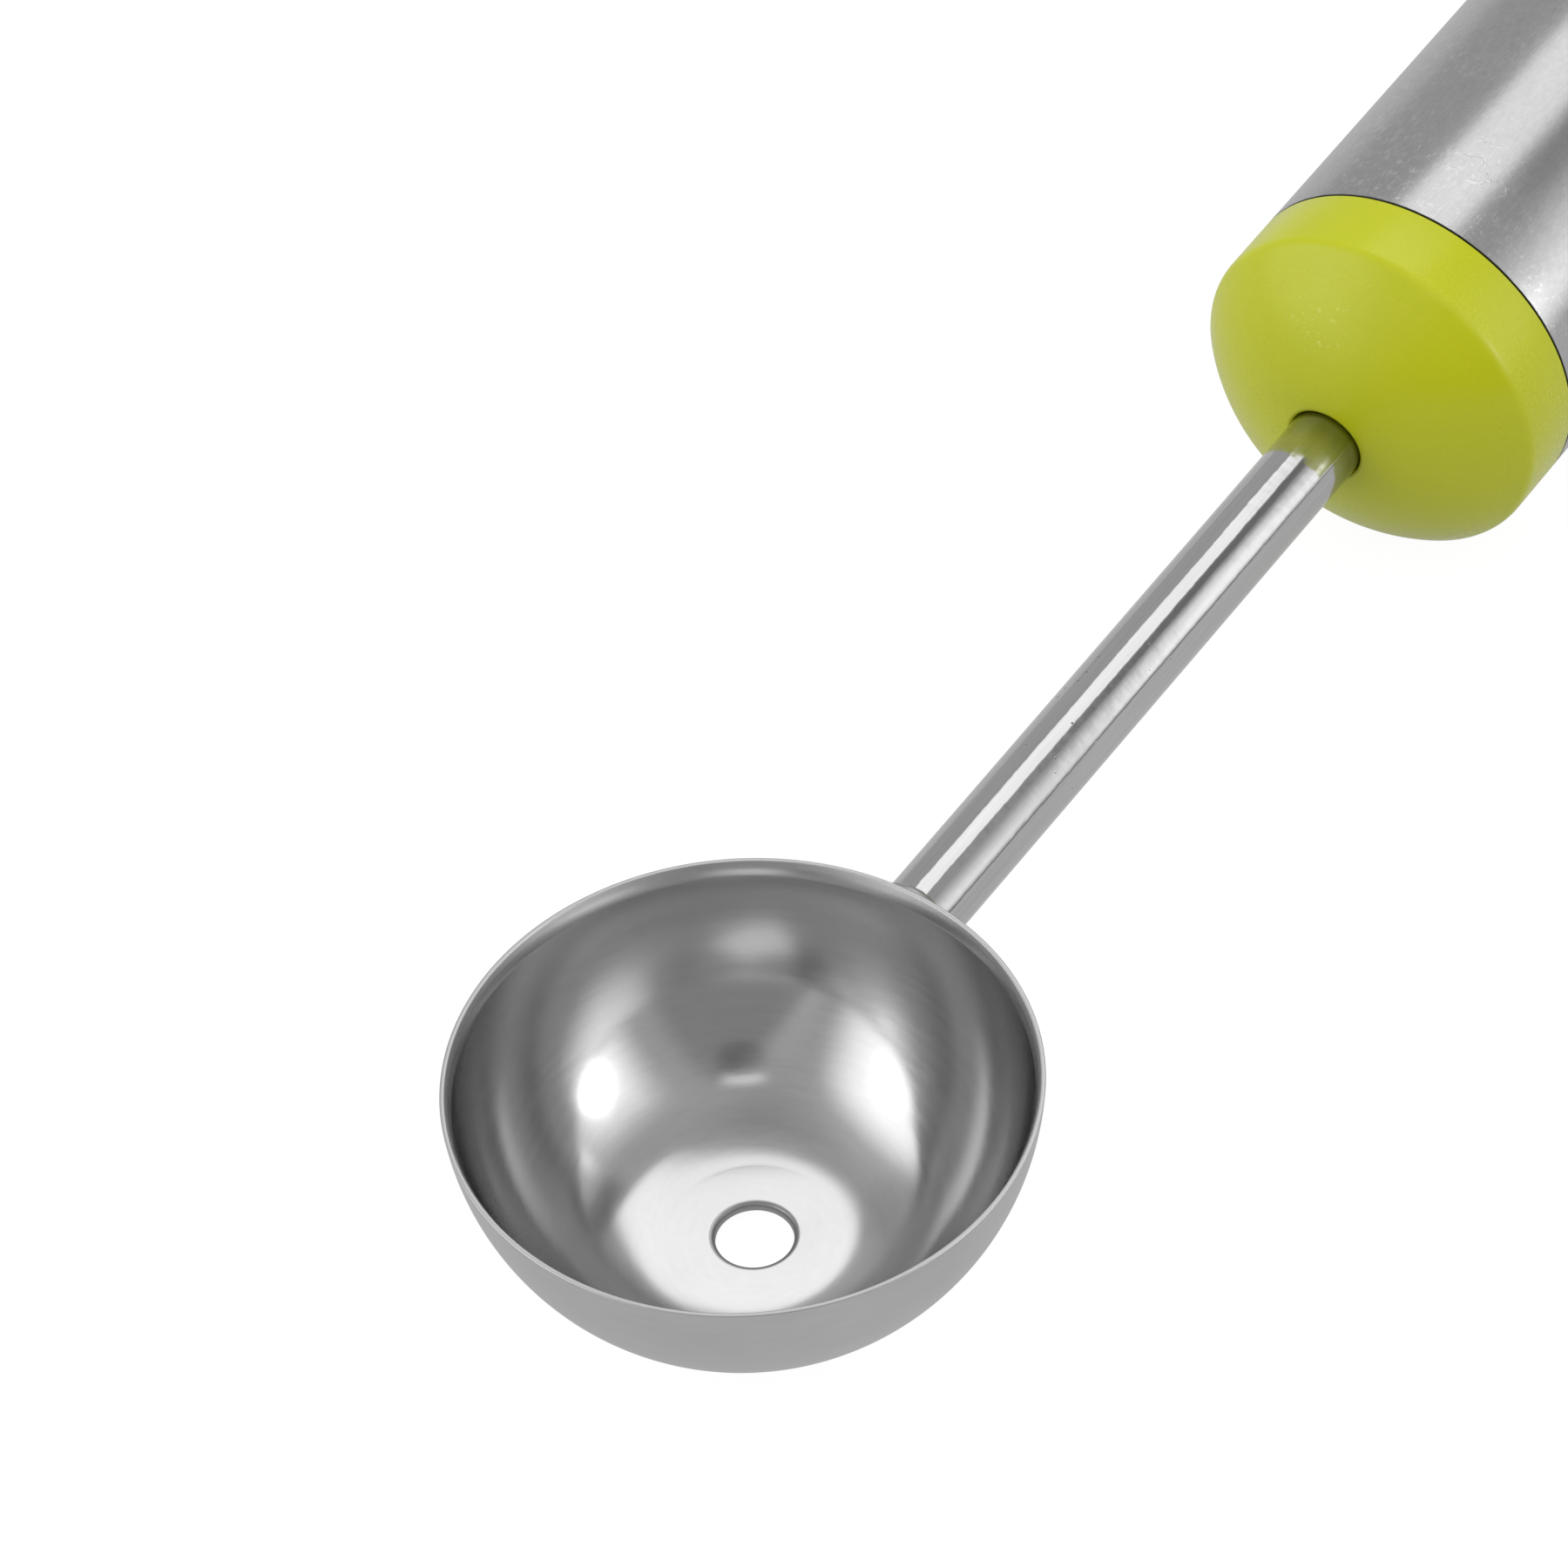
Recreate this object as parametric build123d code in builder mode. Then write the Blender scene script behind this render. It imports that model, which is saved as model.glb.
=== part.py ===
from build123d import *
from math import asin, degrees, hypot, sqrt
import os

# Melon baller. A pressed steel bowl is welded to a polished rod. A moulded collar
# and an anchor plug hold the rod in a brushed steel tube, and a moulded cap with
# a hanging hole closes the tube at the rear. Nothing on it moves.
# The tool lies along Y, bowl towards -Y and cap towards +Y, and the bowl opens
# upwards. The origin is on the surface it lies on, under the middle of its box.
# Sizes are in millimetres. Places along the tool are measured from the bowl's
# centre, and radii from the axis that the rod and the tube share.

# Bowl
rim_radius = 15.0            # outer edge of the rim
bowl_depth = 11.8            # rim to the flat inside floor
sheet = 0.45                 # pressed steel sheet
floor_corner_radius = 6.98   # where the outside of the wall would meet the flat floor
floor_blend = 5.0            # inside radius from the wall to the flat floor
rim_bevel_width = 0.2        # ground edge on the inside of the rim
rim_bevel_depth = 0.7
drain_radius = 2.0           # hole in the floor, which lets air and juice out
drain_roll = 0.25            # edge rolled over by the punch
rim_above_axis = 2.74        # rim plane above the rod's axis

# Rod
rod_radius = 2.1
wing_width = 6.4             # pressed wings that keep the rod from turning
wing_thickness = 2.4
wing_length = 7.0
wing_corner = 0.8
tail_beyond_nut = 2.6        # bare end of the rod behind the push-on nut
tail_chamfer = 0.5

# Weld
weld_leg = 0.55              # weld metal, along the rod and along the wall
weld_slope = 0.35            # taken off its outer corner

# Tube
tube_radius = 10.07
tube_wall = 0.6
tube_length = 93.0
tube_edge_radius = 0.18

# Front collar
collar_face = 55.15          # bowl's centre to the middle of the domed nose
nose_crown = 4.9             # height of the dome
nose_edge_radius = 0.8
collar_band = 4.0            # straight side between the dome and the tube
collar_lip = 0.3             # rounded mouth of the rod hole
collar_spigot = 10.0         # part inside the tube
collar_boss_radius = 4.4     # round the rod, inside the hollow spigot
collar_spigot_wall = 1.7
collar_web = 1.4             # webs between the boss and the spigot's wall

# Anchor plug
anchor_length = 16.0
anchor_flange = 2.6
anchor_waist_radius = 5.2
anchor_web = 1.6             # webs along the waist

# Push-on nut
nut_radius = 4.4
nut_sheet = 0.4
nut_lip = 1.0
tooth_slot_width = 0.5
tooth_slot_reach = 1.2       # slots from the bore outwards
tooth_slots = 6

# End cap
cap_ring = 1.0               # full round next to the tube
cap_spigot = 12.0
cap_spigot_wall = 1.9
tongue_thickness = 8.4       # where the hanging hole goes through
tongue_run = 7.0             # length of the slope down to the tongue
tongue_edge_radius = 0.8
hanging_radius = 3.1
hanging_from_end = 6.3       # hole's centre to the cap's end
hanging_lip = 0.5

# Fits
glue_gap = 0.05              # plugs in the tube, at their ribs
rod_gap = 0.03               # rod in the collar, the plug and the nut
rib_height = 0.3             # crush ribs above the spigots
rib_radius = 0.6
spigot_ribs = 6
spigot_chamfer = 0.5
overrun = 1.0                # how far cuts run past a face

# Places and radii that follow from these sizes
seam = collar_face + nose_crown + collar_band
tube_end = seam + tube_length
cap_shoulder = tube_end + cap_ring + tongue_run
cap_end = cap_shoulder + tube_radius
bowl_y = rim_radius - (rim_radius + cap_end) / 2
axis_z = tube_radius
rim_z = axis_z + rim_above_axis
outer_depth = bowl_depth + sheet
wall_centre_rise = (rim_radius**2 - floor_corner_radius**2 - outer_depth**2) / (2 * outer_depth)
ball_radius = hypot(rim_radius, wall_centre_rise)
ball_centre = (0, bowl_y, rim_z + wall_centre_rise)
floor_z = rim_z - outer_depth
rib_top = tube_radius - tube_wall - glue_gap
spigot_radius = rib_top - rib_height
anchor_front = seam + collar_spigot
anchor_end = anchor_front + anchor_length
wing_start = anchor_front + (anchor_length - wing_length) / 2
rod_start = rim_radius - 2 * rod_radius
tail_end = anchor_end + nut_sheet + tail_beyond_nut

tool_axis = Axis((0, bowl_y, axis_z), (0, 1, 0))
bowl_axis = Axis((0, bowl_y, 0), (0, 0, 1))
tool_section = Plane(origin=(0, bowl_y, axis_z), x_dir=(1, 0, 0), z_dir=(0, 0, 1))
side_section = Plane(origin=(0, bowl_y, axis_z), x_dir=(0, 1, 0), z_dir=(1, 0, 0))
bowl_section = Plane(origin=(0, bowl_y, rim_z), x_dir=(1, 0, 0), z_dir=(0, -1, 0))


def station(distance):
    # Plane square to the tool at that distance behind the bowl's centre, facing the cap
    return Plane(origin=(0, bowl_y + distance, axis_z), x_dir=(1, 0, 0), z_dir=(0, 1, 0))


def corner_at(outline, place):
    # The corner of a section outline at that place
    return outline.vertices().sort_by_distance(place)[0]


def round_edges(part):
    # The circular edges of a part
    return part.edges().filter_by(GeomType.CIRCLE)


def rib_ends(start):
    # The ends of the half-round ribs along a plug, which grip the tube's bore
    with BuildSketch(station(start)) as ends:
        with PolarLocations(rib_top - rib_radius, spigot_ribs):
            Circle(rib_radius)
    return ends.sketch


def rod_hole_end(start):
    # The end of the hole that the rod passes through
    with BuildSketch(station(start)) as end:
        Circle(rod_radius + rod_gap)
    return end.sketch


# Bowl: a round cup drawn from sheet with a flat in the middle of its floor. The
# inside of its rim is ground to a cutting edge, and a drain hole is punched in it.
start_angle = -degrees(asin(wall_centre_rise / ball_radius))
floor_angle = -degrees(asin((outer_depth + wall_centre_rise) / ball_radius))
inside_radius = ball_radius - sheet
rim_inside = sqrt(inside_radius**2 - wall_centre_rise**2)
bevel_inside = sqrt(inside_radius**2 - (wall_centre_rise + rim_bevel_depth) ** 2)
with BuildPart() as bowl:
    with BuildSketch(bowl_section) as cup:
        with BuildLine():
            mouth = Line((0, 0), (rim_radius, 0))
            wall = CenterArc((0, wall_centre_rise), ball_radius, start_angle, floor_angle - start_angle)
            base = Line(wall @ 1, (0, -outer_depth))
            Line(base @ 1, mouth @ 0)
        make_face()
        fillet(corner_at(cup, wall @ 1), floor_blend + sheet)
    revolve(axis=bowl_axis)
    offset(amount=-sheet, openings=bowl.faces().sort_by(Axis.Z)[-1])
    with BuildSketch(bowl_section):
        with BuildLine():
            bevel_foot = (bevel_inside, -rim_bevel_depth)
            Polyline((0, 0), (rim_inside + rim_bevel_width, 0), bevel_foot, (0, -rim_bevel_depth), close=True)
        make_face()
    revolve(axis=bowl_axis, mode=Mode.SUBTRACT)
    with BuildSketch(Plane(origin=(0, bowl_y, floor_z - overrun))):
        Circle(drain_radius)
    extrude(amount=sheet + 2 * overrun, mode=Mode.SUBTRACT)
    drain_mouth = (drain_radius, bowl_y, floor_z + sheet)
    fillet(round_edges(bowl).sort_by_distance(drain_mouth)[0], drain_roll)
bowl.part.label = "bowl"

# Rod: its front end is cut to the round of the bowl's wall, and its tail has two
# pressed wings that sit in the anchor plug.
with BuildPart() as rod:
    with BuildSketch(station(rod_start)):
        Circle(rod_radius)
    extrude(amount=tail_end - rod_start)
    chamfer(round_edges(rod).sort_by(Axis.Y)[-1], tail_chamfer)
    with BuildSketch(station(wing_start)):
        RectangleRounded(wing_width, wing_thickness, wing_corner)
    extrude(amount=wing_length)
    with Locations(ball_centre):
        Sphere(ball_radius, mode=Mode.SUBTRACT)
rod.part.label = "rod"

# Weld bead: a ring of weld metal in the corner between the rod and the bowl.
with BuildPart() as weld_bead:
    with Locations(ball_centre):
        Sphere(ball_radius + weld_leg)
    with BuildSketch(station(rod_start)):
        Circle(rod_radius + weld_leg)
    extrude(amount=rim_radius, mode=Mode.INTERSECT)
    chamfer(weld_bead.edges().sort_by(Axis.Y)[-1], weld_slope)
    with Locations(ball_centre):
        Sphere(ball_radius, mode=Mode.SUBTRACT)
    with BuildSketch(station(rod_start)):
        Circle(rod_radius)
    extrude(amount=rim_radius, mode=Mode.SUBTRACT)
weld_bead.part.label = "weld_bead"

# Handle tube: plain thin-walled tube with its end edges eased.
with BuildPart() as handle_tube:
    with BuildSketch(station(seam)):
        Circle(tube_radius)
        Circle(tube_radius - tube_wall, mode=Mode.SUBTRACT)
    extrude(amount=tube_length)
    fillet(round_edges(handle_tube).sort_by(SortBy.RADIUS)[-2:], tube_edge_radius)
handle_tube.part.label = "handle_tube"

# Front collar: a domed nose flush with the tube, and a hollow spigot with webs
# and a boss round the rod, and crush ribs outside.
with BuildPart() as front_collar:
    with BuildSketch(tool_section) as collar_outline:
        with BuildLine():
            nose_rim = (tube_radius, collar_face + nose_crown)
            dome = TangentArc((0, collar_face), nose_rim, tangent=(1, 0))
            Polyline(dome @ 1, (tube_radius, seam), (spigot_radius, seam), (spigot_radius, anchor_front),
                     (0, anchor_front), dome @ 0)
        make_face()
        fillet(corner_at(collar_outline, nose_rim), nose_edge_radius)
        chamfer(corner_at(collar_outline, (spigot_radius, anchor_front)), spigot_chamfer)
    revolve(axis=tool_axis)
    with BuildSketch(station(seam)):
        Circle(spigot_radius - collar_spigot_wall)
        Circle(collar_boss_radius, mode=Mode.SUBTRACT)
        Rectangle(2 * spigot_radius, collar_web, mode=Mode.SUBTRACT)
        Rectangle(collar_web, 2 * spigot_radius, mode=Mode.SUBTRACT)
    extrude(amount=collar_spigot, mode=Mode.SUBTRACT)
    extrude(rib_ends(seam), amount=collar_spigot - spigot_chamfer)
    rod_hole_length = anchor_front - collar_face + 2 * overrun
    extrude(rod_hole_end(collar_face - overrun), amount=rod_hole_length, mode=Mode.SUBTRACT)
    fillet(round_edges(front_collar).sort_by(Axis.Y)[0], collar_lip)
front_collar.part.label = "front_collar"

# Anchor plug: hard plastic moulded on the rod's tail, two flanges joined by a
# waist and webs, with a pocket in the shape of the wings.
with BuildPart() as anchor_plug:
    with BuildSketch(station(anchor_front)):
        Circle(anchor_waist_radius)
        Rectangle(2 * spigot_radius, anchor_web)
        Rectangle(anchor_web, 2 * spigot_radius)
        Circle(spigot_radius, mode=Mode.INTERSECT)
    extrude(amount=anchor_length)
    for flange_start in (anchor_front, anchor_end - anchor_flange):
        with BuildSketch(station(flange_start)):
            Circle(spigot_radius)
        extrude(amount=anchor_flange)
        extrude(rib_ends(flange_start), amount=anchor_flange)
    extrude(rod_hole_end(anchor_front), amount=anchor_length, mode=Mode.SUBTRACT)
    with BuildSketch(station(wing_start)):
        RectangleRounded(wing_width + 2 * rod_gap, wing_thickness + 2 * rod_gap, wing_corner + rod_gap)
    extrude(amount=wing_length, mode=Mode.SUBTRACT)
anchor_plug.part.label = "anchor_plug"

# Push-on nut: a spring steel disc whose slotted teeth grip the rod's tail, so
# that the plug cannot slide off.
with BuildPart() as push_nut:
    with BuildSketch(station(anchor_end)):
        Circle(nut_radius)
        Circle(rod_radius + rod_gap, mode=Mode.SUBTRACT)
        with PolarLocations(rod_radius + tooth_slot_reach / 2, tooth_slots):
            Rectangle(tooth_slot_reach, tooth_slot_width, mode=Mode.SUBTRACT)
    extrude(amount=nut_sheet)
    with BuildSketch(station(anchor_end)):
        Circle(nut_radius)
        Circle(nut_radius - nut_sheet, mode=Mode.SUBTRACT)
    extrude(amount=nut_lip)
push_nut.part.label = "push_nut"

# End cap: a round-ended plug that thins to a tongue, with a hole for hanging the
# tool on a hook, and a hollow spigot with crush ribs in the tube.
with BuildPart() as end_cap:
    with BuildSketch(tool_section) as cap_outline:
        with BuildLine():
            round_end = CenterArc((0, cap_shoulder), tube_radius, 0, 90)
            Polyline(round_end @ 1, (0, tube_end - cap_spigot), (spigot_radius, tube_end - cap_spigot),
                     (spigot_radius, tube_end), (tube_radius, tube_end), round_end @ 0)
        make_face()
        chamfer(corner_at(cap_outline, (spigot_radius, tube_end - cap_spigot)), spigot_chamfer)
    revolve(axis=tool_axis)
    with BuildSketch(side_section):
        with BuildLine():
            flat = Line((cap_end + overrun, tongue_thickness / 2), (cap_shoulder, tongue_thickness / 2))
            slope_head = (tube_end + cap_ring, tube_radius + overrun)
            TangentArc(flat @ 1, slope_head, tangent=(-1, 0))
            Polyline(slope_head, (cap_end + overrun, tube_radius + overrun), flat @ 0)
        make_face()
        mirror(about=Plane.XZ)
    extrude(amount=tube_radius + overrun, both=True, mode=Mode.SUBTRACT)
    fillet(end_cap.edges(Select.LAST), tongue_edge_radius)
    with BuildSketch(Plane(origin=(0, bowl_y + cap_end - hanging_from_end, 0))):
        Circle(hanging_radius)
    extrude(amount=2 * axis_z, mode=Mode.SUBTRACT)
    fillet(end_cap.edges(Select.LAST).filter_by(GeomType.CIRCLE), hanging_lip)
    with BuildSketch(station(tube_end)):
        Circle(spigot_radius - cap_spigot_wall)
    extrude(amount=-cap_spigot, mode=Mode.SUBTRACT)
    extrude(rib_ends(tube_end), amount=spigot_chamfer - cap_spigot)
end_cap.part.label = "end_cap"

os.makedirs("parts", exist_ok=True)
export_step(bowl.part, "parts/bowl.step")
export_step(rod.part, "parts/rod.step")
export_step(weld_bead.part, "parts/weld_bead.step")
export_step(handle_tube.part, "parts/handle_tube.step")
export_step(front_collar.part, "parts/front_collar.step")
export_step(anchor_plug.part, "parts/anchor_plug.step")
export_step(push_nut.part, "parts/push_nut.step")
export_step(end_cap.part, "parts/end_cap.step")
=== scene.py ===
from math import acos, atan2, cos, hypot, pi, radians, sin, sqrt
import bpy
from mathutils import Matrix, Vector


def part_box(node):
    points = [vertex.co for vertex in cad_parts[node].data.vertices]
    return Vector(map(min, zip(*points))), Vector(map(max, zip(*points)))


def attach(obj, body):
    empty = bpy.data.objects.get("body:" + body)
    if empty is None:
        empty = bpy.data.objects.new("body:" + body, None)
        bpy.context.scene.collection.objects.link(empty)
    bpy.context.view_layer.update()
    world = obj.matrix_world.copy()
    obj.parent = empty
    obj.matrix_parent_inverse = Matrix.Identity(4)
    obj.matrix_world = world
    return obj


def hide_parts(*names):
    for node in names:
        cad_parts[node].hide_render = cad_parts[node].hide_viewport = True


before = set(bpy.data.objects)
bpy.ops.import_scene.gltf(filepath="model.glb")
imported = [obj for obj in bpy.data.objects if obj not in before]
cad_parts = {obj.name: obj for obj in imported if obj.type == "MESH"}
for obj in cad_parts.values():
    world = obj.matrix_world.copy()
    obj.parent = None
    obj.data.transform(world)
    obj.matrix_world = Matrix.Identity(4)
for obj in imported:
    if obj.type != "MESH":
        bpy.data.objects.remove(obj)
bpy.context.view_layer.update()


# Studio. The tool lies on a white sweep under a large ceiling softbox, with one
# more softbox at its right, one low at the left and dark room behind the camera.
# The floor and the surroundings show as plain white.
millimetre = 0.001
tube_low, tube_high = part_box("handle_tube")
bowl_low, bowl_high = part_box("bowl")
axis_z = (tube_low[2] + tube_high[2]) / 2
bowl_y = (bowl_low[1] + bowl_high[1]) / 2
camera_azimuth = radians(36.744)
camera_elevation = radians(46.839)
camera_roll = radians(-4.094)
camera_distance = 424.344 * millimetre
aim = Vector((-10.941 * millimetre, bowl_y + 19.846 * millimetre, axis_z))
back = Vector((sin(camera_azimuth) * cos(camera_elevation),
               -cos(camera_azimuth) * cos(camera_elevation), sin(camera_elevation)))
level = Vector((cos(camera_azimuth), sin(camera_azimuth), 0))
upward = back.cross(level)
side = level * cos(camera_roll) + upward * sin(camera_roll)
top = upward * cos(camera_roll) - level * sin(camera_roll)
eye = aim + back * camera_distance
bpy.ops.object.camera_add()
camera = bpy.context.object
camera.name = "photo_camera"
camera.matrix_world = Matrix(((side.x, top.x, back.x, eye.x), (side.y, top.y, back.y, eye.y),
                              (side.z, top.z, back.z, eye.z), (0, 0, 0, 1)))
camera.data.sensor_width = 36
camera.data.lens = 189.25
camera.data.clip_start = 0.01
bpy.context.scene.camera = camera
bpy.context.scene.view_settings.view_transform = "Standard"


class Wire:
    """An output in a node tree. Arithmetic on it adds Math nodes."""

    def __init__(self, tree, socket=None):
        self.tree = tree
        self.socket = socket

    def node(self, kind, inputs=None, out=0, stops=None, **settings):
        """Add a node: its settings first, then a ramp's stops, then its sockets."""
        made = self.tree.nodes.new(kind)
        for name, value in settings.items():
            setattr(made, name, value)
        for number, (position, colour) in enumerate(stops or []):
            elements = made.color_ramp.elements
            stop = elements[number] if number < len(elements) else elements.new(position)
            stop.position = position
            stop.color = colour
        for name, value in (inputs or {}).items():
            self.feed(made.inputs[name], value)
        return Wire(self.tree, made.outputs[out])

    def feed(self, socket, value):
        if isinstance(value, Wire):
            self.tree.links.new(value.socket, socket)
        else:
            socket.default_value = value

    def other(self, output):
        return Wire(self.tree, self.socket.node.outputs[output])

    def maths(self, operation, *values):
        return self.node("ShaderNodeMath", dict(enumerate(values)), operation=operation)

    def __add__(self, value):
        return self.maths("ADD", self, value)

    def __sub__(self, value):
        return self.maths("SUBTRACT", self, value)

    def __mul__(self, value):
        return self.maths("MULTIPLY", self, value)

    def __rsub__(self, value):
        return self.maths("SUBTRACT", value, self)

    __radd__ = __add__
    __rmul__ = __mul__

    def rise(self, low, high):
        """0 below low and 1 above high, with a smooth slope between."""
        limits = {"Value": self, "From Min": low, "From Max": high}
        return self.node("ShaderNodeMapRange", limits, interpolation_type="SMOOTHSTEP")

    def window(self, low, high, soft):
        """1 between low and high, with soft edges."""
        return self.rise(low - soft, low + soft) * (1 - self.rise(high - soft, high + soft))

    def blend(self, colour, share):
        """This colour mixed with another one."""
        inputs = {"Factor": share, 6: self, 7: colour}
        return self.node("ShaderNodeMix", inputs, out=2, data_type="RGBA")


world = bpy.data.worlds.new("white_studio")
bpy.context.scene.world = world
world.use_nodes = True
air = Wire(world.node_tree)
direction = air.node("ShaderNodeTexCoord", out="Generated")
across = air.node("ShaderNodeSeparateXYZ", {0: direction})
along = across.other("Y")
height = across.other("Z")
turn = across.maths("ARCTAN2", across, height)


def toward(aim_at):
    """How closely a direction in the room points along another one."""
    inputs = {0: direction, 1: tuple(aim_at)}
    return air.node("ShaderNodeVectorMath", inputs, out="Value", operation="DOT_PRODUCT")


# The softboxes. Turn is the angle round the tool's length, and along says how far
# a direction leans towards the end of the handle.
ceiling_box = turn.window(radians(-33), radians(5), radians(2)) * along.rise(0.28, 0.5)
ceiling_box = ceiling_box * (1 - along.rise(0.67, 0.78))
left_aim = toward((-0.671, -0.65, 0.357))
left_box = left_aim.rise(0.74, 0.98) + 0.2 * left_aim.rise(0.4, 0.92)
right_edge = turn.rise(radians(25), radians(70)) * (1 - turn.rise(radians(76), radians(90)))
right_reach = along.rise(-0.18, 0.18) * (1 - along.rise(0.85, 1))
right_box = right_edge * right_reach * (1 - 0.5 * along.rise(0.35, 0.65))
rear_box = turn.rise(radians(28), radians(48)) * (1 - turn.rise(radians(90), radians(102)))
rear_box = rear_box * along.rise(0.585, 0.66) * (1 - along.rise(0.66, 0.74))

# The dark room that shows between the softboxes and beyond them.
front_dark = turn.window(radians(26), radians(92), radians(7)) * (0 - along).rise(0.22, 0.42)
left_dark = toward((-0.838, 0.25, 0.484)).rise(0.88, 0.98) * (1 - along.rise(0.3, 0.45))
far_dark = along.rise(0.66, 0.76) * (1 - turn.rise(radians(5), radians(25)))
overhead_dark = turn.window(radians(-25), radians(8), radians(15)) * (1 - along.rise(-0.05, 0.35))
gap_dark = turn.window(radians(8), radians(27), radians(4)) * along.rise(0.55, 0.61)
rear_gap_dark = turn.window(radians(6), radians(27), radians(5)) * along.rise(0.59, 0.65)
edge_dark = turn.window(radians(86), radians(98), radians(4))

# What the bowl mirrors near its middle: the lens, the light above it, two lamps.
glint_across = toward(side)
camera_up = toward(top)
glint_up = camera_up + 1.2 * glint_across * glint_across
glint = glint_across.window(-0.15, 0.12, 0.06) * glint_up.window(0.13, 0.25, 0.03)
lens_up = camera_up + 0.03
lens_oval = (1 - 20 * glint_across * glint_across - 50 * lens_up * lens_up).rise(0, 0.8)
lens_dark = lens_oval * toward(back).rise(0, 0.3)
left_lamp = toward((-0.615, -0.68, 0.399)).rise(0.96, 0.998)
right_lamp = toward((0.865, 0.32, 0.385)).rise(0.982, 0.999)

room_level = 0.5
lights = room_level + ceiling_box + left_box + 1.2 * right_box + 0.5 * glint
lights = lights + 0.45 * rear_box + 0.5 * left_lamp + 4 * right_lamp
darks = 0.17 * front_dark + 0.12 * left_dark + 0.08 * far_dark + 0.15 * overhead_dark
darks = darks + 0.1 * gap_dark + 0.16 * rear_gap_dark + 0.12 * lens_dark + 0.24 * edge_dark
studio = lights - darks

# The camera sees white, mirrors see the room, and matt skins get it softened,
# with more of it from above.
path = air.node("ShaderNodeLightPath", out="Is Camera Ray")
glossy = path.other("Is Glossy Ray")
transmitted = path.other("Is Transmission Ray")
seen = (path + glossy + transmitted).maths("MINIMUM", path + glossy + transmitted, 1)
backdrop = studio * (1 - path) + path
from_above = 0.85 * height.maths("MAXIMUM", height, 0)
soft_light = 0.13 + 0.48 * studio + from_above - 0.55 * front_dark
strength = backdrop * seen + soft_light * (1 - seen)
background = world.node_tree.nodes["Background"]
background.inputs["Color"].default_value = (1, 1, 1, 1)
air.feed(background.inputs["Strength"], strength)

bpy.ops.object.select_all(action="DESELECT")
floor_size = 3
bpy.ops.mesh.primitive_grid_add(x_subdivisions=4, y_subdivisions=4, size=floor_size)
floor = bpy.context.object
floor.name = "studio_floor"
paper = bpy.data.materials.new("white_paper")
paper.use_nodes = True
paper_wire = Wire(paper.node_tree)
paper_path = paper_wire.node("ShaderNodeLightPath", out="Is Camera Ray")
paper_seen = paper_path.other("Is Glossy Ray") + paper_path.other("Is Transmission Ray")
paper_white = {"Color": 0.62 + 0.5 * paper_path, "Strength": 1.0}
paper_glow = paper_wire.node("ShaderNodeEmission", paper_white, out="Emission")
paper_grey = {"Color": (0.68, 0.68, 0.68, 1)}
paper_matt = paper_wire.node("ShaderNodeBsdfDiffuse", paper_grey, out="BSDF")
paper_parts = {"Fac": 0.85 * (paper_path + paper_seen), 1: paper_matt, 2: paper_glow}
paper_mix = paper_wire.node("ShaderNodeMixShader", paper_parts, out="Shader")
paper_wire.feed(paper.node_tree.nodes["Material Output"].inputs["Surface"], paper_mix)
floor.data.materials.append(paper)


# Bowl. A cup drawn from thin stainless sheet and polished on a wheel, inside and
# out. Its rim is ground on the inside, and the drain hole is punched downwards.
ring_sides = 288
merge_distance = 0.002 * millimetre
rim_radius = (bowl_high[0] - bowl_low[0]) / 2
rim_z = bowl_high[2]
bowl_sheet = 0.45 * millimetre
wall_rise = 1.07 * millimetre
floor_blend = 7.5 * millimetre
drain_radius = 2 * millimetre
drain_roll = 0.25 * millimetre
bevel_width = 0.2 * millimetre
bevel_depth = 0.7 * millimetre
rim_round = 0.055 * millimetre


def arc(centre, radius, start, end, steps):
    """Places on an arc in a section, from one angle to another, in degrees."""
    angles = [radians(start + (end - start) * step / steps) for step in range(steps + 1)]
    return [(centre[0] + radius * cos(angle), centre[1] + radius * sin(angle)) for angle in angles]


def turned(name, section, sides):
    """Turn a closed section of (radius, height) places into a piece standing on Z."""
    bpy.ops.object.select_all(action="DESELECT")
    radius, place = section[0]
    bpy.ops.mesh.primitive_circle_add(vertices=sides, radius=radius, location=(0, 0, place))
    piece = bpy.context.object
    piece.name = name
    bpy.ops.object.transform_apply(location=True, rotation=True, scale=True)
    bpy.ops.object.mode_set(mode="EDIT")
    bpy.ops.mesh.select_mode(type="EDGE")
    bpy.ops.mesh.select_all(action="SELECT")
    for next_radius, next_place in section[1:] + section[:1]:
        shift = (0, 0, next_place - place)
        bpy.ops.mesh.extrude_region_move(TRANSFORM_OT_translate={"value": shift})
        grow = next_radius / radius
        bpy.ops.transform.resize(value=(grow, grow, 1), center_override=(0, 0, next_place))
        radius, place = next_radius, next_place
    bpy.ops.mesh.select_all(action="SELECT")
    bpy.ops.mesh.remove_doubles(threshold=merge_distance)
    bpy.ops.mesh.normals_make_consistent(inside=False)
    bpy.ops.object.mode_set(mode="OBJECT")
    return piece


def settle(piece, location, tilt=(0, 0, 0), crease=30):
    """Put a piece in its place in the tool and shade it smooth between sharp edges."""
    piece.location = location
    piece.rotation_euler = tilt
    bpy.ops.object.select_all(action="DESELECT")
    piece.select_set(True)
    bpy.context.view_layer.objects.active = piece
    bpy.ops.object.transform_apply(location=True, rotation=True, scale=True)
    bpy.ops.object.shade_smooth_by_angle(angle=radians(crease))


def finish_of(name, colour, metallic, roughness):
    """A new material with its even values set, and a wire to build the rest with."""
    material = bpy.data.materials.new(name)
    material.use_nodes = True
    shader = material.node_tree.nodes["Principled BSDF"]
    shader.inputs["Base Color"].default_value = colour
    shader.inputs["Metallic"].default_value = metallic
    shader.inputs["Roughness"].default_value = roughness
    return material, shader, Wire(material.node_tree)


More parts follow.
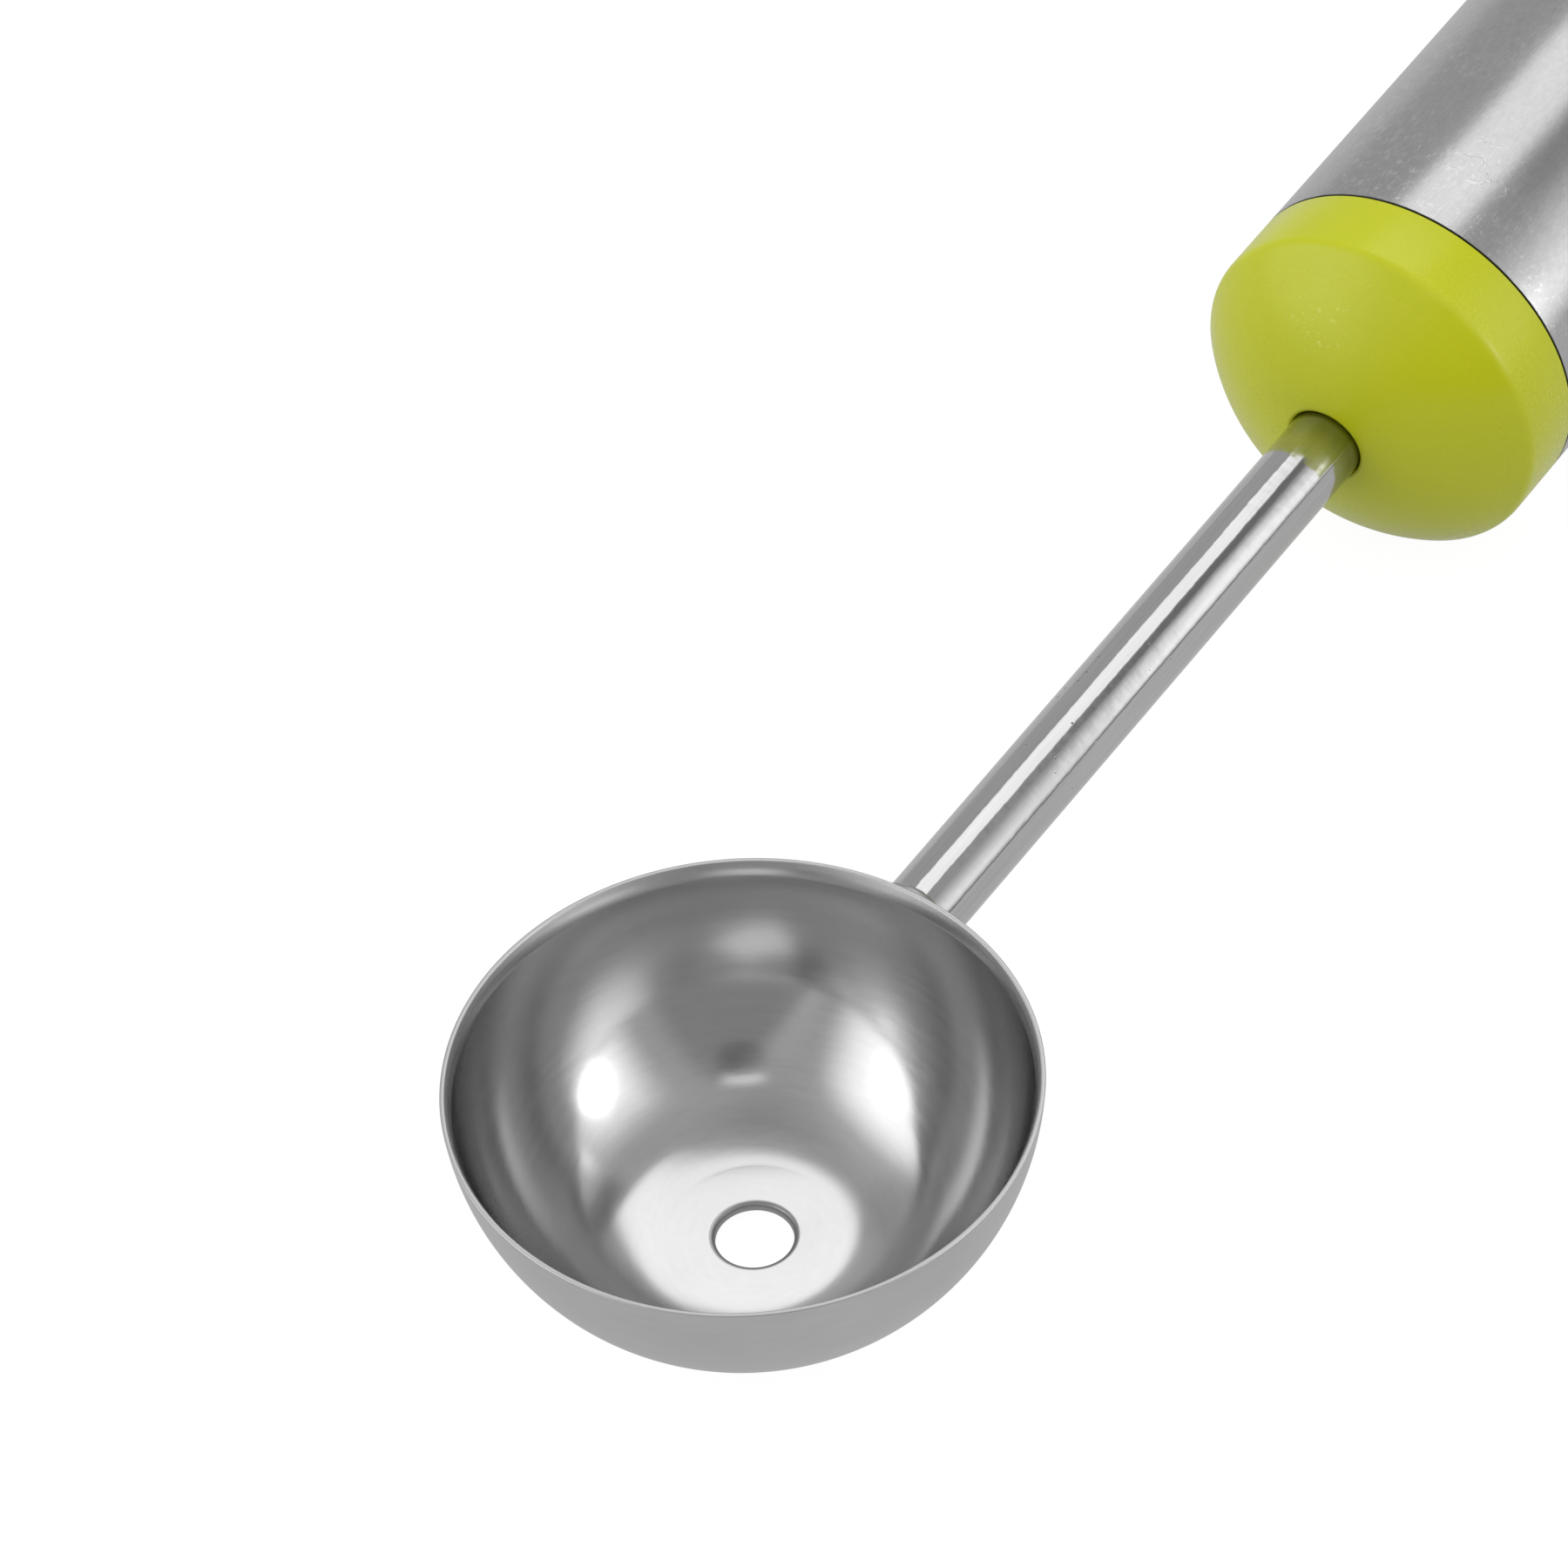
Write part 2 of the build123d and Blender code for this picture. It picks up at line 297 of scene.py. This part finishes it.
def noise(wire, vector, scale, detail=4, roughness=0.55):
    """A cloud pattern from 0 to 1."""
    inputs = {"Vector": vector, "Scale": scale, "Detail": detail, "Roughness": roughness}
    return wire.node("ShaderNodeTexNoise", inputs, out=0)


def bumped(wire, shader, height, depth, under=None):
    """Raise the surface by a pattern, to a real depth."""
    inputs = {"Height": height, "Distance": depth, "Strength": 1.0}
    if under is not None:
        inputs["Normal"] = under
    bump = wire.node("ShaderNodeBump", inputs, out="Normal")
    wire.feed(shader.inputs["Normal"], bump)
    return bump


ball_radius = hypot(rim_radius, wall_rise)
bowl_depth = rim_z - bowl_low[2]
inside_radius = ball_radius - bowl_sheet
blend_reach = ball_radius - bowl_sheet - floor_blend
blend_drop = bowl_depth - bowl_sheet + wall_rise - floor_blend
blend_centre = (sqrt(blend_reach ** 2 - blend_drop ** 2), wall_rise - blend_drop)
wall_foot = -90 + acos(blend_drop / blend_reach) * 180 / pi
wall_head = -atan2(wall_rise, rim_radius) * 180 / pi
bevel_drop = wall_rise + bevel_depth
bevel_foot = -atan2(bevel_drop, sqrt(inside_radius ** 2 - bevel_drop ** 2)) * 180 / pi
rim_inside = sqrt(inside_radius ** 2 - wall_rise ** 2)
inside_floor = bowl_sheet - bowl_depth
ring_step = 0.04 * millimetre
cup_section = [(drain_radius, -bowl_depth), (blend_centre[0] / 2, -bowl_depth)]
cup_section += [(blend_centre[0] - ring_step, -bowl_depth)]
cup_section += arc(blend_centre, floor_blend + bowl_sheet, -90, wall_foot, 16)
cup_section += arc((0, wall_rise), ball_radius, wall_foot, wall_head, 56)[1:-1]
cup_section += arc((rim_radius - rim_round, -rim_round), rim_round, 0, 90, 5)
cup_section += arc((rim_inside + bevel_width + rim_round, -rim_round), rim_round, 90, 165, 4)
cup_section += arc((0, wall_rise), inside_radius, bevel_foot, wall_foot, 56)
cup_section += arc(blend_centre, floor_blend, wall_foot, -90, 16)[1:]
cup_section += [(blend_centre[0] - ring_step, inside_floor)]
cup_section += [(blend_centre[0] / 2 + ring_step, inside_floor)]
cup_section += [(drain_radius + drain_roll + ring_step, inside_floor)]
cup_section += arc((drain_radius + drain_roll, inside_floor - drain_roll), drain_roll, 90, 180, 5)
cup = turned("scoop_cup", cup_section, ring_sides)
settle(cup, (0, bowl_y, rim_z))


def bowl_steel():
    """Wheel-polished stainless: faint rings round the bowl, haze, a duller skin outside, and painted
    light that lightens the upper inside wall.
    """
    material, shader, wire = finish_of("polished_bowl_steel", (0.59, 0.59, 0.59, 1), 1, 0.14)
    place = wire.node("ShaderNodeTexCoord", out="Object")
    from_centre = {0: place, 1: (0, bowl_y, rim_z)}
    centred = wire.node("ShaderNodeVectorMath", from_centre, operation="SUBTRACT")
    x = wire.node("ShaderNodeSeparateXYZ", {0: centred})
    y, z = x.other("Y"), x.other("Z")
    radius = (x * x + y * y).maths("SQRT", x * x + y * y)
    angle = x.maths("ARCTAN2", x, y)
    rings = wire.node("ShaderNodeCombineXYZ", {0: radius * 1000, 1: z * 1000, 2: angle * 1.5})
    streaks = noise(wire, rings, 2.6, 6, 0.7)
    fine = noise(wire, rings, 9.0, 3, 0.6)
    haze = noise(wire, place, 160, 5, 0.6)
    # The inside skin is the one nearer to the middle of the ball, above the floor.
    from_ball = {0: place, 1: (0, bowl_y, rim_z + wall_rise)}
    shell = wire.node("ShaderNodeVectorMath", from_ball, out="Value", operation="DISTANCE")
    inner = 1 - shell.rise(inside_radius + 0.06 * millimetre, inside_radius + 0.16 * millimetre)
    inner = inner * z.rise(inside_floor - 0.16 * millimetre, inside_floor - 0.06 * millimetre)
    upper = z.rise(-7 * millimetre, -1.5 * millimetre)
    corner = radius.window(5 * millimetre, 8.6 * millimetre, 0.7 * millimetre)
    corner = corner * (1 - z.rise(-10.5 * millimetre, -9 * millimetre))
    hole_edge = 1 - radius.rise(drain_radius + drain_roll, drain_radius + 1.4 * drain_roll)
    polish = 0.06 + 0.06 * streaks + 0.09 * haze
    rough = polish + 0.05 * upper * inner + 0.21 * (1 - inner)
    wire.feed(shader.inputs["Roughness"], rough + 0.04 * corner + 0.2 * hole_edge)
    dull = wire.node("ShaderNodeValToRGB", {0: haze * 0.6 + streaks * 0.4},
                     stops=[(0.3, (0.54, 0.54, 0.54, 1)), (0.7, (0.63, 0.63, 0.63, 1))])
    # Painted light: the upper part of the inside wall is painted lighter.
    upper_wall_painted_lighter = dull.blend((0.74, 0.74, 0.74, 1), 0.4 * upper * inner)
    bright = upper_wall_painted_lighter.blend((0.42, 0.42, 0.42, 1), hole_edge)
    wire.feed(shader.inputs["Base Color"], bright)
    first = bumped(wire, shader, streaks, 0.0012 * millimetre)
    bumped(wire, shader, fine, 0.0006 * millimetre, first)
    return material


def dress(piece, node, material):
    """Put a material on a piece, and on the construction solid that it stands for."""
    for body in (piece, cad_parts[node]):
        body.data.materials.clear()
        body.data.materials.append(material)


dress(cup, "bowl", bowl_steel())
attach(cup, "root")
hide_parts("bowl")


# Rod. Bright drawn stainless rod, polished lengthwise. Its front end is cut to
# the bowl's wall. Its tail, with two pressed wings, runs through the collar into
# the tube.
rod_radius = 2.1 * millimetre
rod_front = 13.2 * millimetre
rod_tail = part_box("rod")[1][1]
rod_chamfer = 0.5 * millimetre
rod_length = rod_tail - bowl_y - rod_front
rod_sides = 128
bpy.ops.object.select_all(action="DESELECT")
bpy.ops.mesh.primitive_cylinder_add(vertices=rod_sides, radius=rod_radius, depth=rod_length,
                                    location=(0, bowl_y + rod_front + rod_length / 2, axis_z),
                                    rotation=(-pi / 2, 0, 0), end_fill_type="NGON")
rod = bpy.context.object
rod.name = "polished_rod"
bpy.ops.object.transform_apply(location=True, rotation=True, scale=True)
wall_point = sqrt(ball_radius ** 2 - (wall_rise + rim_z - axis_z) ** 2)
wall_normal = Vector((0, wall_point, -(wall_rise + rim_z - axis_z))).normalized()
wall_place = Vector((0, bowl_y + wall_point, axis_z)) - wall_normal * bowl_sheet * 0.4
bpy.ops.object.mode_set(mode="EDIT")
bpy.ops.mesh.select_all(action="SELECT")
bpy.ops.mesh.bisect(plane_co=wall_place, plane_no=wall_normal, use_fill=True, clear_inner=True)
bpy.ops.mesh.select_all(action="DESELECT")
bpy.ops.object.mode_set(mode="OBJECT")
for face in rod.data.polygons:
    face.select = face.center.y > rod_tail - rod_chamfer / 10
bpy.ops.object.mode_set(mode="EDIT")
bpy.ops.mesh.select_mode(type="FACE")
bpy.ops.mesh.bevel(offset=rod_chamfer, segments=3, affect="EDGES")
bpy.ops.mesh.select_all(action="SELECT")
bpy.ops.mesh.normals_make_consistent(inside=False)
bpy.ops.object.mode_set(mode="OBJECT")
wing_start = bowl_y + 78.55 * millimetre
wing_size = (6.4 * millimetre, 7 * millimetre, 2.4 * millimetre)
wing_corner = 0.8 * millimetre
bpy.ops.object.select_all(action="DESELECT")
wing_place = (0, wing_start + wing_size[1] / 2, axis_z)
bpy.ops.mesh.primitive_cube_add(size=1, location=wing_place, scale=wing_size)
wings = bpy.context.object
wings.name = "pressed_wings"
bpy.ops.object.transform_apply(location=True, rotation=True, scale=True)
corners = wings.data.vertices
bpy.ops.object.mode_set(mode="EDIT")
bpy.ops.mesh.select_mode(type="EDGE")
bpy.ops.mesh.select_all(action="DESELECT")
bpy.ops.object.mode_set(mode="OBJECT")
for edge in wings.data.edges:
    ends = [corners[number].co.y for number in edge.vertices]
    edge.select = abs(ends[0] - ends[1]) > wing_size[1] / 2
bpy.ops.object.mode_set(mode="EDIT")
bpy.ops.mesh.bevel(offset=wing_corner, segments=6, affect="EDGES")
bpy.ops.object.mode_set(mode="OBJECT")
rod.select_set(True)
bpy.context.view_layer.objects.active = rod
join_wings = rod.modifiers.new("join_wings", "BOOLEAN")
join_wings.operation = "UNION"
join_wings.object = wings
bpy.ops.object.modifier_apply(modifier="join_wings")
bpy.data.objects.remove(wings)
settle(rod, (0, 0, 0))


def rod_steel():
    """Bright drawn rod: lengthwise hairlines, soft haze, a few tiny pits, and painted shade where it
    runs into the collar.
    """
    material, shader, wire = finish_of("bright_rod_steel", (0.56, 0.56, 0.56, 1), 1, 0.05)
    place = wire.node("ShaderNodeTexCoord", out="Object")
    drawn = wire.node("ShaderNodeMapping", {"Vector": place, "Scale": (1, 0.03, 1)})
    lines = noise(wire, drawn, 4200, 3, 0.6)
    broad = noise(wire, drawn, 900, 2, 0.5)
    haze = noise(wire, place, 300, 4, 0.6)
    cells = wire.node("ShaderNodeTexVoronoi", {"Vector": place, "Scale": 1500.0}, out="Distance")
    pitted_spot = (1.1 * millimetre, bowl_y + 28.5 * millimetre, axis_z + 1.8 * millimetre)
    from_pitted = {0: place, 1: pitted_spot}
    pitted_distance = wire.node("ShaderNodeVectorMath", from_pitted, out="Value", operation="DISTANCE")
    pitted = 1 - pitted_distance.rise(1.5 * millimetre, 4 * millimetre)
    rare = noise(wire, place, 140, 1, 0.5).rise(0.66, 0.7)
    pits = (1 - cells.rise(0.06, 0.11)) * (pitted + rare).maths("MINIMUM", pitted + rare, 1)
    waves = noise(wire, place, 700, 2, 0.5)
    wire.feed(shader.inputs["Roughness"], 0.02 + 0.03 * lines + 0.05 * haze + 0.3 * pits)
    tone = wire.node("ShaderNodeValToRGB", {0: lines * 0.5 + broad * 0.5},
                     stops=[(0.3, (0.5, 0.5, 0.5, 1)), (0.7, (0.62, 0.62, 0.62, 1))])
    run = wire.node("ShaderNodeSeparateXYZ", {0: place}, out="Y")
    # Painted shade: the rod is darkened where it runs into the collar's mouth.
    collar_shade = run.rise(bowl_y + 52.8 * millimetre, bowl_y + 55 * millimetre)
    shaded_near_collar = tone.blend((0.2, 0.2, 0.18, 1), collar_shade * 0.7)
    wire.feed(shader.inputs["Base Color"], shaded_near_collar.blend((0.12, 0.12, 0.12, 1), pits * 0.8))
    first = bumped(wire, shader, lines, 0.0005 * millimetre)
    second = bumped(wire, shader, waves, 0.018 * millimetre, first)
    bumped(wire, shader, 1 - pits, 0.01 * millimetre, second)
    return material


dress(rod, "rod", rod_steel())
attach(rod, "root")
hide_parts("rod")


# Weld. A small ring of weld metal that joins the rod to the bowl's outer wall,
# wiped clean but still rippled round its corner.
weld_leg = 0.55 * millimetre
weld_thick = 0.42 * millimetre
bpy.ops.object.select_all(action="DESELECT")
bpy.ops.mesh.primitive_torus_add(major_radius=rod_radius + weld_leg - weld_thick,
                                 minor_radius=weld_thick, major_segments=96, minor_segments=20)
weld = bpy.context.object
weld.name = "weld_ring"
ripples = 26
ripple_height = 0.07
waver = 0.05
for vertex in weld.data.vertices:
    round_angle = atan2(vertex.co.y, vertex.co.x)
    swell = 1 + ripple_height * sin(ripples * round_angle) + waver * sin(3 * round_angle + 1)
    vertex.co.z *= swell
settle(weld, Vector((0, bowl_y + wall_point, axis_z)) + wall_normal * weld_thick * 0.25,
       (-pi / 2 - atan2(-wall_normal.z, wall_normal.y), 0, 0))


def weld_steel():
    """Cleaned weld metal: dull grey, a little darker in patches, with a fine ripple."""
    material, shader, wire = finish_of("weld_metal", (0.5, 0.49, 0.47, 1), 1, 0.35)
    place = wire.node("ShaderNodeTexCoord", out="Object")
    patches = noise(wire, place, 700, 3, 0.6)
    tone = wire.node("ShaderNodeValToRGB", {0: patches},
                     stops=[(0.35, (0.5, 0.5, 0.5, 1)), (0.65, (0.44, 0.44, 0.435, 1))])
    wire.feed(shader.inputs["Base Color"], tone)
    wire.feed(shader.inputs["Roughness"], 0.28 + 0.2 * patches)
    bumped(wire, shader, noise(wire, place, 3000, 3, 0.6), 0.004 * millimetre)
    return material


dress(weld, "weld_bead", weld_steel())
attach(weld, "root")
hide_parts("weld_bead")


# Handle tube. Thin stainless tube with its ends eased, brushed along its length
# on a belt, then handled, so it carries fine lines, haze and light scuffs.
tube_radius = (tube_high[0] - tube_low[0]) / 2
tube_wall = 0.6 * millimetre
tube_ease = 0.06 * millimetre
seam_gap = 0.07 * millimetre
tube_bore = tube_radius - tube_wall
tube_start = tube_low[1] + seam_gap
tube_length = tube_high[1] - seam_gap - tube_start
tube_section = [(tube_bore, 0), (tube_radius - tube_ease, 0)]
tube_section += arc((tube_radius - tube_ease, tube_ease), tube_ease, -90, 0, 5)[1:]
tube_section += [(tube_radius, tube_length * step / 12) for step in range(1, 12)]
tube_section += arc((tube_radius - tube_ease, tube_length - tube_ease), tube_ease, 0, 90, 5)
tube_section += [(tube_bore, tube_length)]
tube = turned("brushed_tube", tube_section, ring_sides)
settle(tube, (0, tube_start, axis_z), (-pi / 2, 0, 0))


def tube_steel():
    """Satin stainless: fine short grain, haze, scuffs, and painted shade along the seam where it meets
    the collar.
    """
    material, shader, wire = finish_of("brushed_tube_steel", (0.55, 0.55, 0.55, 1), 1, 0.24)
    place = wire.node("ShaderNodeTexCoord", out="Object")
    from_axis = {0: place, 1: (0, 0, axis_z)}
    centred = wire.node("ShaderNodeVectorMath", from_axis, operation="SUBTRACT")
    x = wire.node("ShaderNodeSeparateXYZ", {0: centred})
    y, z = x.other("Y"), x.other("Z")
    drawn = wire.node("ShaderNodeMapping", {"Vector": place, "Scale": (1, 0.25, 1)})
    grain = noise(wire, drawn, 6500, 3, 0.7)
    mottle = noise(wire, place, 1800, 4, 0.7)
    haze = noise(wire, place, 130, 5, 0.65)
    scuff_zone = noise(wire, place, 100, 2, 0.5).rise(0.5, 0.66)
    thread = noise(wire, place, 650, 3, 0.5) - 0.5
    hairline = 1 - thread.maths("ABSOLUTE", thread).rise(0.012, 0.03)
    hairline = hairline * noise(wire, place, 1300, 1, 0.5).rise(0.42, 0.55)
    worn_spot = (1.6 * millimetre, bowl_y + 69.2 * millimetre, axis_z + 9.94 * millimetre)
    from_worn = {0: place, 1: worn_spot}
    worn_distance = wire.node("ShaderNodeVectorMath", from_worn, out="Value", operation="DISTANCE")
    worn = 1 - worn_distance.rise(0.9 * millimetre, 2.6 * millimetre)
    rubbed = 1 - (y - tube_start).rise(0.6 * millimetre, 3 * millimetre)
    specks = noise(wire, place, 3600, 2, 0.5).rise(0.6, 0.7) * (rubbed + worn)
    specks = specks * z.rise(0, 8 * millimetre)
    dents = (mottle * grain).rise(0.27, 0.36) * scuff_zone
    scuffs = 0.5 * dents + 1.6 * hairline * worn + 0.6 * specks
    # Painted shade: a ragged, near-black line along the tube's edge at the seam with the collar, which
    # is also made rougher there.
    ragged = y - tube_start - 0.07 * millimetre * noise(wire, place, 1500, 3, 0.7)
    seam_shade = 1 - ragged.rise(0, 0.05 * millimetre)
    rough = 0.2 + 0.03 * mottle + 0.04 * haze + 0.08 * scuffs + 0.3 * seam_shade
    wire.feed(shader.inputs["Roughness"], rough)
    tone = wire.node("ShaderNodeValToRGB", {0: grain * 0.4 + mottle * 0.3 + haze * 0.3},
                     stops=[(0.35, (0.47, 0.47, 0.47, 1)), (0.65, (0.58, 0.58, 0.58, 1))])
    lighter = tone.blend((0.9, 0.9, 0.9, 1), scuffs.maths("MINIMUM", scuffs * 0.5, 1))
    wire.feed(shader.inputs["Base Color"], lighter.blend((0.05, 0.05, 0.05, 1), seam_shade))
    first = bumped(wire, shader, grain, 0.0016 * millimetre)
    second = bumped(wire, shader, mottle, 0.0012 * millimetre, first)
    third = bumped(wire, shader, scuffs, 0.0015 * millimetre, second)
    bumped(wire, shader, hairline * worn, 0.006 * millimetre, third)
    return material


dress(tube, "handle_tube", tube_steel())
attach(tube, "root")
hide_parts("handle_tube")


# Front collar. A lime moulding with a domed nose flush with the tube, a softened
# edge, a rounded mouth round the rod, and a spigot pushed into the tube.
collar_face = 55.15 * millimetre
nose_crown = 4.9 * millimetre
nose_edge = 0.95 * millimetre
mouth_radius = 2.13 * millimetre
mouth_round = 0.22 * millimetre
spigot_radius = 9.1 * millimetre
collar_seam = tube_low[1] - bowl_y
collar_ease = 0.05 * millimetre
dome_radius = (tube_radius ** 2 + nose_crown ** 2) / (2 * nose_crown)
dome_centre = collar_face + dome_radius
edge_reach = dome_radius - nose_edge
edge_angle = acos((tube_radius - nose_edge) / edge_reach) * 180 / pi
edge_centre = (tube_radius - nose_edge, dome_centre - edge_reach * sin(radians(edge_angle)))
mouth_angle = acos((mouth_radius + mouth_round) / (dome_radius - mouth_round)) * 180 / pi
mouth_centre = (mouth_radius + mouth_round,
                dome_centre - (dome_radius - mouth_round) * sin(radians(mouth_angle)))
collar_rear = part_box("front_collar")[1][1] - bowl_y
nose_section = arc(mouth_centre, mouth_round, -180, -mouth_angle, 8)
nose_section += arc((0, dome_centre), dome_radius, -mouth_angle, -edge_angle, 48)[1:]
nose_section += arc(edge_centre, nose_edge, -edge_angle, 0, 10)[1:]
nose_section += arc((tube_radius - collar_ease, collar_seam - collar_ease), collar_ease, 0, 90, 4)
nose_section += [(spigot_radius, collar_seam), (spigot_radius, collar_rear), (mouth_radius, collar_rear)]
collar = turned("lime_nose", nose_section, ring_sides)
settle(collar, (0, bowl_y, axis_z), (-pi / 2, 0, 0))


def lime_plastic(name):
    """Satin lime moulding: faint flow marks, fine spark texture, and painted sparkle highlights as
    bright dust-sized specks.
    """
    material, shader, wire = finish_of(name, (0.56, 0.61, 0.012, 1), 0, 0.28)
    shader.inputs["IOR"].default_value = 1.49
    shader.inputs["Subsurface Weight"].default_value = 0.12
    shader.inputs["Subsurface Radius"].default_value = (1.0, 1.0, 0.1)
    shader.inputs["Subsurface Scale"].default_value = 0.0012
    place = wire.node("ShaderNodeTexCoord", out="Object")
    flow = noise(wire, place, 55, 4, 0.55)
    spark = noise(wire, place, 4800, 2, 0.6)
    grit_and_sparkle_spot = (-1.4 * millimetre, bowl_y + 57.2 * millimetre, axis_z + 6.6 * millimetre)
    from_grit_and_sparkle_spot = {0: place, 1: grit_and_sparkle_spot}
    grit_and_sparkle_distance = wire.node("ShaderNodeVectorMath", from_grit_and_sparkle_spot, out="Value", operation="DISTANCE")
    grit_and_sparkle_zone = 1 - grit_and_sparkle_distance.rise(0.5 * millimetre, 3.6 * millimetre)
    grit_and_sparkle_zone = grit_and_sparkle_zone * noise(wire, place, 500, 2, 0.5)
    flattened = wire.node("ShaderNodeVectorMath", {0: place, 1: (1, 0, 1)}, operation="MULTIPLY")
    from_axis = {0: flattened, 1: (0, 0, axis_z)}
    reach = wire.node("ShaderNodeVectorMath", from_axis, out="Value", operation="DISTANCE")
    edge = reach.window(9.2 * millimetre, 10 * millimetre, 0.3 * millimetre)
    # Painted highlight: bright lighter-lime sparkle specks within this zone, near the dome's highlight.
    # The zone also carries a coarser real grain in the bump.
    specks = noise(wire, place, 3400, 1, 0.5).rise(0.64, 0.72) * grit_and_sparkle_zone
    tone = wire.node("ShaderNodeValToRGB", {0: flow * 0.8 + spark * 0.2},
                     stops=[(0.3, (0.53, 0.575, 0.003, 1)), (0.7, (0.61, 0.65, 0.008, 1))])
    wire.feed(shader.inputs["Base Color"], tone.blend((0.85, 0.9, 0.2, 1), 0.7 * specks))
    wire.feed(shader.inputs["Roughness"], 0.21 + 0.08 * flow + 0.08 * spark - 0.08 * edge)
    first = bumped(wire, shader, spark, 0.0025 * millimetre)
    bumped(wire, shader, grit_and_sparkle_zone * spark, 0.03 * millimetre, first)
    return material


dress(collar, "front_collar", lime_plastic("lime_collar_plastic"))
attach(collar, "root")
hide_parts("front_collar")


# Anchor plug. Hard grey plastic moulded on the rod's tail, hidden in the tube.
# The shape is the construction model's, with moulding marks in its finish.
def plug_plastic():
    """Grey moulded plastic, matt, with a mottled skin."""
    material, shader, wire = finish_of("grey_plug_plastic", (0.25, 0.25, 0.25, 1), 0, 0.55)
    place = wire.node("ShaderNodeTexCoord", out="Object")
    mottle = noise(wire, place, 400, 4, 0.6)
    tone = wire.node("ShaderNodeValToRGB", {0: mottle},
                     stops=[(0.3, (0.2, 0.2, 0.205, 1)), (0.7, (0.3, 0.3, 0.3, 1))])
    wire.feed(shader.inputs["Base Color"], tone)
    wire.feed(shader.inputs["Roughness"], 0.45 + 0.2 * mottle)
    bumped(wire, shader, noise(wire, place, 3500, 2, 0.6), 0.003 * millimetre)
    return material


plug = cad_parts["anchor_plug"]
dress(plug, "anchor_plug", plug_plastic())


# Push-on nut. A blued spring steel disc with teeth that grip the rod's tail,
# hidden in the tube behind the plug.
def spring_steel():
    """Blued spring steel, brown and blue in soft patches."""
    material, shader, wire = finish_of("blued_spring_steel", (0.2, 0.21, 0.25, 1), 1, 0.35)
    place = wire.node("ShaderNodeTexCoord", out="Object")
    patches = noise(wire, place, 500, 3, 0.6)
    tone = wire.node("ShaderNodeValToRGB", {0: patches},
                     stops=[(0.35, (0.12, 0.15, 0.24, 1)), (0.65, (0.28, 0.24, 0.22, 1))])
    wire.feed(shader.inputs["Base Color"], tone)
    wire.feed(shader.inputs["Roughness"], 0.28 + 0.2 * patches)
    bumped(wire, shader, noise(wire, place, 4000, 2, 0.6), 0.002 * millimetre)
    return material


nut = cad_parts["push_nut"]
dress(nut, "push_nut", spring_steel())


# End cap. The same lime plastic, moulded as a plug with a tongue and a hanging
# hole. Its shape is the construction model's, joined up and shaded smooth.
bpy.ops.object.select_all(action="DESELECT")
cap_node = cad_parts["end_cap"]
cap = bpy.data.objects.new("lime_cap", cap_node.data.copy())
bpy.context.scene.collection.objects.link(cap)
cap.select_set(True)
bpy.context.view_layer.objects.active = cap
bpy.ops.object.mode_set(mode="EDIT")
bpy.ops.mesh.select_all(action="SELECT")
bpy.ops.mesh.remove_doubles(threshold=merge_distance)
bpy.ops.object.mode_set(mode="OBJECT")
settle(cap, (0, 0, 0), crease=28)
dress(cap, "end_cap", lime_plastic("lime_cap_plastic"))
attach(cap, "root")
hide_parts("end_cap")
